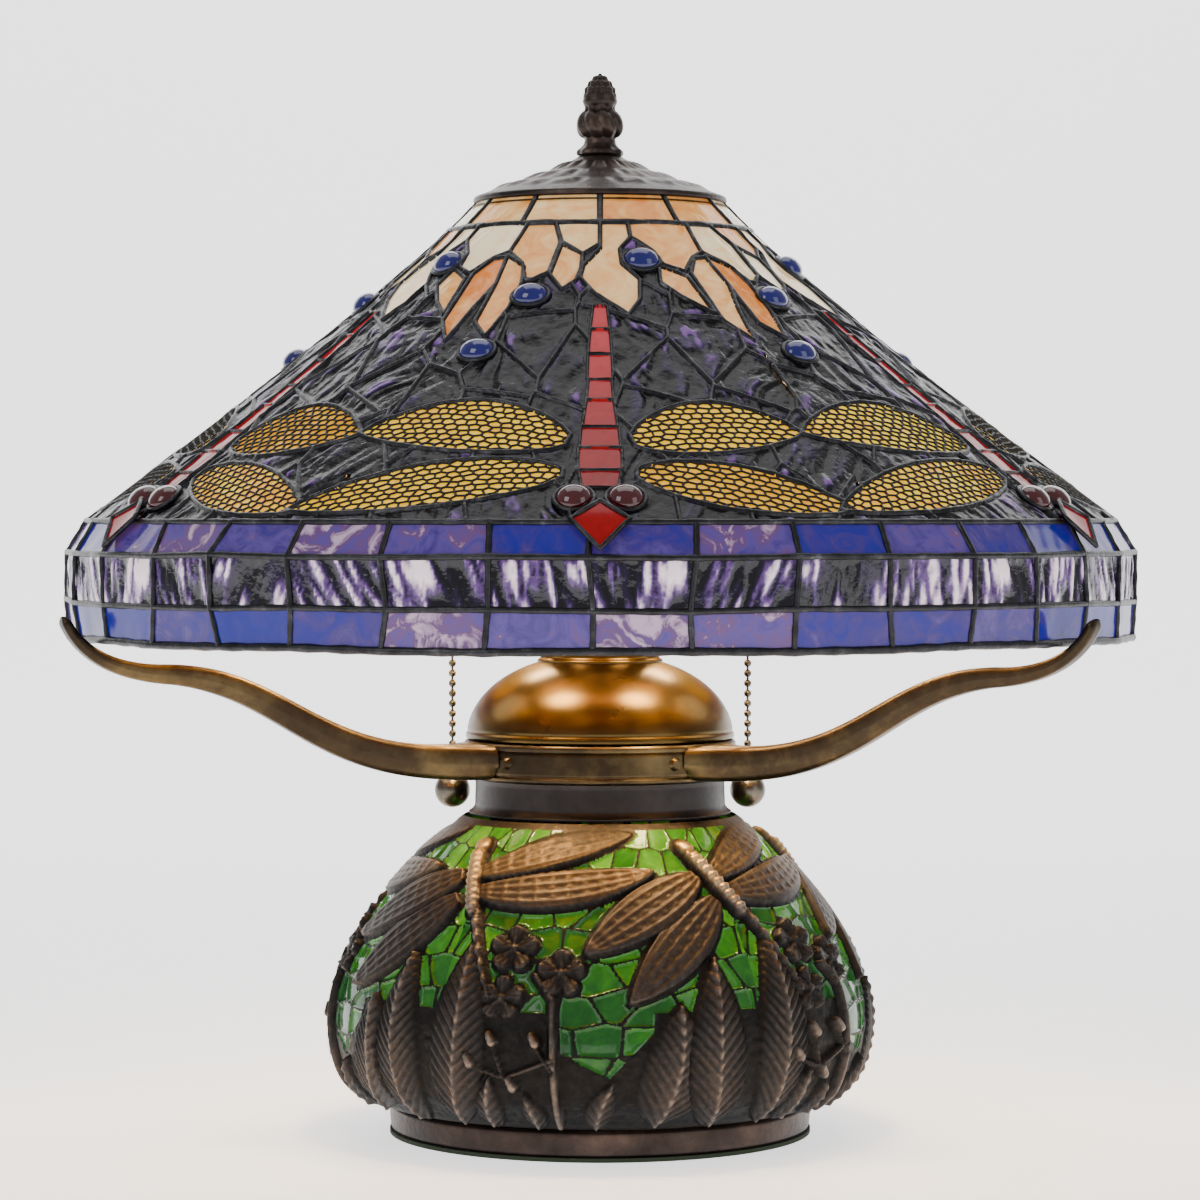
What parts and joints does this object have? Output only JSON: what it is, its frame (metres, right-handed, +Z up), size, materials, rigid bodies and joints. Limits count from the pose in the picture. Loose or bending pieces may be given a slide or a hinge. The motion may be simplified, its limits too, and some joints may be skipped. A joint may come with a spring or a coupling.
{
  "type": "table lamp",
  "caption": "Table lamp with a leaded glass dragonfly shade resting on arms above a lit bronze and mosaic base, with pull chains.",
  "frame": {"origin": "centre of the felt's underside, on the lamp's vertical axis", "axes": "+Z up, -Y towards the viewer's side, +X to the viewer's right"},
  "size_m": [0.4072, 0.4181, 0.4036],
  "materials": {
    "felt": "felt",
    "dark_bronze": "satin patina",
    "steel": "plated",
    "brass": "satin",
    "black_plastic": "matte",
    "bronze": "antiqued with gold highlights",
    "mosaic_glass": "lit from inside",
    "porcelain": "glazed",
    "bulb_glass": "frosted",
    "collar_metal": "satin",
    "antique_brass": "antiqued",
    "spun_brass": "spun satin",
    "cream_glass": "opalescent, lit",
    "field_glass": "rippled, streaked",
    "wing_glass": "filigree over amber glass",
    "red_glass": "lit",
    "ruby_glass": "cabochon",
    "cobalt_glass": "cabochon",
    "lead": "soldered, dark patina",
    "border_glass": "mottled",
    "ripple_glass": "rippled",
    "chain_brass": "satin"
  },
  "bodies": {
    "base": {"felt_pad": "felt", "foot_ring": "dark_bronze", "base_plate": "steel", "rod_washer": "steel", "rod_nut": "brass", "cord_bushing": "black_plastic", "base_casting": "bronze", "mosaic_glass": "mosaic_glass", "night_light_bracket": "steel", "night_light_socket": "porcelain", "night_light_base": "steel", "night_light_bulb": "bulb_glass", "neck_collar": "collar_metal", "arm_band": "bronze", "arm_left": "antique_brass", "arm_right": "antique_brass", "arm_rear": "antique_brass", "arm_screws": "antique_brass", "dome": "spun_brass", "dome_nut": "brass", "centre_rod": "brass", "cluster_body": "antique_brass", "cluster_lid": "antique_brass", "riser_rod": "brass", "left_socket_cap": "brass", "left_socket_shell": "brass", "left_socket_core": "porcelain", "left_screw_shell": "brass", "left_chain_guide": "brass", "left_bulb_base": "steel", "left_bulb_glass": "bulb_glass", "right_socket_cap": "brass", "right_socket_shell": "brass", "right_socket_core": "porcelain", "right_screw_shell": "brass", "right_chain_guide": "brass", "right_bulb_base": "steel", "right_bulb_glass": "bulb_glass"},
    "shade": {"shade_ring": "antique_brass", "shade_spider": "brass", "crown_glass": "cream_glass", "petal_glass": "cream_glass", "field_glass": "field_glass", "wing_glass": "wing_glass", "dragonfly_bodies": "red_glass", "eye_jewels": "ruby_glass", "blue_jewels": "cobalt_glass", "cone_came": "lead", "border_up_glass": "border_glass", "border_mid_glass": "ripple_glass", "border_low_glass": "border_glass", "border_came": "lead", "vase_cap": "dark_bronze"},
    "finial": {"finial": "dark_bronze"},
    "left_lead": {"left_chain_lead": "chain_brass"},
    "left_chain": {"left_pull_chain": "chain_brass", "left_pull_ball": "antique_brass"},
    "right_lead": {"right_chain_lead": "chain_brass"},
    "right_chain": {"right_pull_chain": "chain_brass", "right_pull_ball": "antique_brass"}
  },
  "joints": [
    {"name": "shade_lift", "type": "slide", "parent": "base", "child": "shade", "axis": [0, 0, 1], "range_m": [0, 0.2]},
    {"name": "finial_turn", "type": "hinge", "parent": "shade", "child": "finial", "pos_m": [0, 0, 0.38], "axis": [0, 0, 1], "continuous": true},
    {"name": "left_chain_pull", "type": "slide", "parent": "base", "child": "left_lead", "axis": [0, 0, -1], "range_m": [0, 0.005], "stiffness_N_per_m": 300, "springref_m": -0.002},
    {"name": "left_chain_swing", "type": "hinge", "parent": "left_lead", "child": "left_chain", "pos_m": [-0.0575, 0.027, 0.213], "axis": [0, 1, 0], "range_deg": [-3, 25]},
    {"name": "right_chain_pull", "type": "slide", "parent": "base", "child": "right_lead", "axis": [0, 0, -1], "range_m": [0, 0.005], "stiffness_N_per_m": 300, "springref_m": -0.002},
    {"name": "right_chain_swing", "type": "hinge", "parent": "right_lead", "child": "right_chain", "pos_m": [0.0575, 0.027, 0.213], "axis": [0, -1, 0], "range_deg": [-3, 25]}
  ]
}
